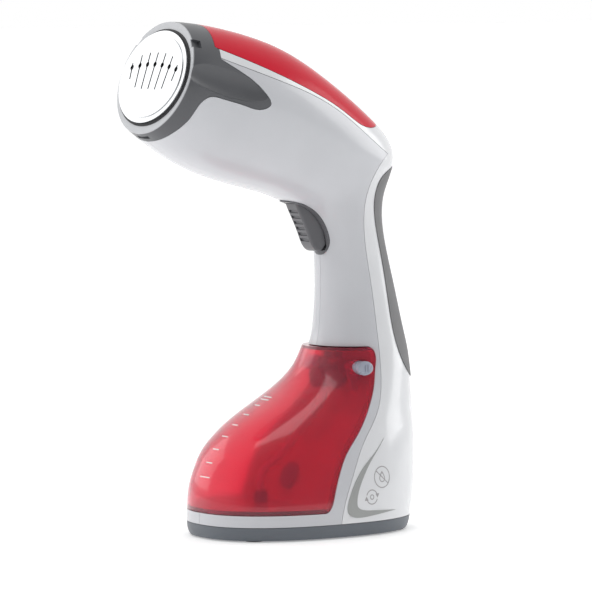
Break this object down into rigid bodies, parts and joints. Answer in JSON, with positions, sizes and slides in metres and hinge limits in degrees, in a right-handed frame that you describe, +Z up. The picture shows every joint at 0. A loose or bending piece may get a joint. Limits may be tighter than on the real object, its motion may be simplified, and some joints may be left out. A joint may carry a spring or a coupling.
{
  "type": "garment steamer",
  "caption": "Upright hand-held garment steamer: oval foot, clear water tank, looped grip with a finger trigger and a tilted head with a perforated steam plate.",
  "frame": {"origin": "on the floor, at the middle of the underside of the central rubber foot", "axes": "+Z up; -Y towards the front, where the steam plate points; +X to the object's left"},
  "size_m": [0.0942, 0.1849, 0.2991],
  "materials": {
    "base_grey": "fine spark texture",
    "screw_steel": "zinc plated",
    "shell_white": "satin gloss moulding",
    "chamber_alloy": "die cast",
    "inner_white": "plain moulding",
    "black_rubber": "matt",
    "grip_grey": "soft touch, overmoulded",
    "element_steel": "heat darkened",
    "silicone": "milky silicone",
    "black_plastic": "plain moulding",
    "bezel_grey": "metallic grey moulding",
    "pump_casing": "glass filled nylon",
    "spine_white": "gloss moulding",
    "foot_rubber": "matt",
    "inlay_grey": "satin moulding",
    "brass": "turned",
    "plate_steel": "polished stainless",
    "terminal_nylon": "natural nylon",
    "fuse_metal": "pressed can",
    "cover_red": "gloss moulding",
    "spring_steel": "wound wire",
    "trigger_grey": "satin moulding",
    "tank_red": "clear tinted moulding",
    "valve_grey": "plain moulding",
    "button_clear": "frosted clear moulding",
    "plug_rubber": "matt"
  },
  "bodies": {
    "body": {"base_cover": "base_grey", "base_screws": "screw_steel", "casing_left": "shell_white", "casing_right": "shell_white", "casing_screws": "screw_steel", "chamber_lid": "chamber_alloy", "chamber_screws": "screw_steel", "chassis": "inner_white", "cord_bush": "black_rubber", "grip_pad": "grip_grey", "heat_shield": "inner_white", "heater_block": "chamber_alloy", "heating_element": "element_steel", "inlet_hose": "silicone", "inlet_socket": "inner_white", "micro_switch": "black_plastic", "nozzle_bezel": "bezel_grey", "plate_gasket": "black_rubber", "pump": "pump_casing", "pump_mounts": "silicone", "rear_spine": "spine_white", "rubber_feet": "foot_rubber", "side_inlay_left": "inlay_grey", "side_inlay_right": "inlay_grey", "steam_hose": "silicone", "steam_inlet": "brass", "steam_plate": "plate_steel", "switch_bracket": "element_steel", "terminal_block": "terminal_nylon", "thermal_fuse": "fuse_metal", "thermostat": "fuse_metal", "top_cover": "cover_red", "trigger_pin": "screw_steel", "trigger_spring": "spring_steel", "trigger_surround": "trigger_grey"},
    "trigger": {"trigger": "trigger_grey"},
    "switch_plunger": {"switch_plunger": "black_plastic"},
    "tank": {"tank_body": "tank_red", "tank_back": "tank_red", "valve_body": "valve_grey", "valve_seal": "silicone", "valve_spring": "spring_steel", "dip_tube": "silicone", "strainer": "valve_grey", "latch_carrier": "valve_grey", "latch_spring_left": "spring_steel", "latch_spring_right": "spring_steel"},
    "release_button_left": {"release_button_left": "button_clear"},
    "release_button_right": {"release_button_right": "button_clear"},
    "valve_stem": {"valve_stem": "valve_grey"},
    "filler_plug": {"filler_plug": "plug_rubber"}
  },
  "joints": [
    {"name": "trigger_hinge", "type": "hinge", "parent": "body", "child": "trigger", "pos_m": [0, 0.0005, 0.2015], "axis": [1, 0, 0], "range_deg": [0, 6], "stiffness_Nm_per_rad": 0.35, "springref_deg": -5.73, "deforming": ["trigger_spring"]},
    {"name": "plunger_slide", "type": "slide", "parent": "body", "child": "switch_plunger", "axis": [0, 1, 0], "range_m": [0, 0.0022]},
    {"name": "tank_slide", "type": "slide", "parent": "body", "child": "tank", "axis": [0, -1, 0], "range_m": [0, 0.12]},
    {"name": "release_left", "type": "slide", "parent": "tank", "child": "release_button_left", "axis": [-1, 0, 0], "range_m": [0, 0.0025], "stiffness_N_per_m": 400, "springref_m": -0.001, "deforming": ["latch_spring_left"]},
    {"name": "release_right", "type": "slide", "parent": "tank", "child": "release_button_right", "axis": [1, 0, 0], "range_m": [0, 0.0025], "stiffness_N_per_m": 400, "springref_m": -0.001, "deforming": ["latch_spring_right"]},
    {"name": "valve_stem_slide", "type": "slide", "parent": "tank", "child": "valve_stem", "axis": [0, -1, 0], "range_m": [0, 0.002], "stiffness_N_per_m": 200, "springref_m": -0.001, "deforming": ["valve_spring"]},
    {"name": "filler_plug_pull", "type": "slide", "parent": "tank", "child": "filler_plug", "axis": [0, 0.9401, -0.3409], "range_m": [0, 0.004]}
  ],
  "couplings": [
    {"joint": "plunger_slide", "follows": "trigger_hinge", "m_per_rad": 0.0195}
  ]
}
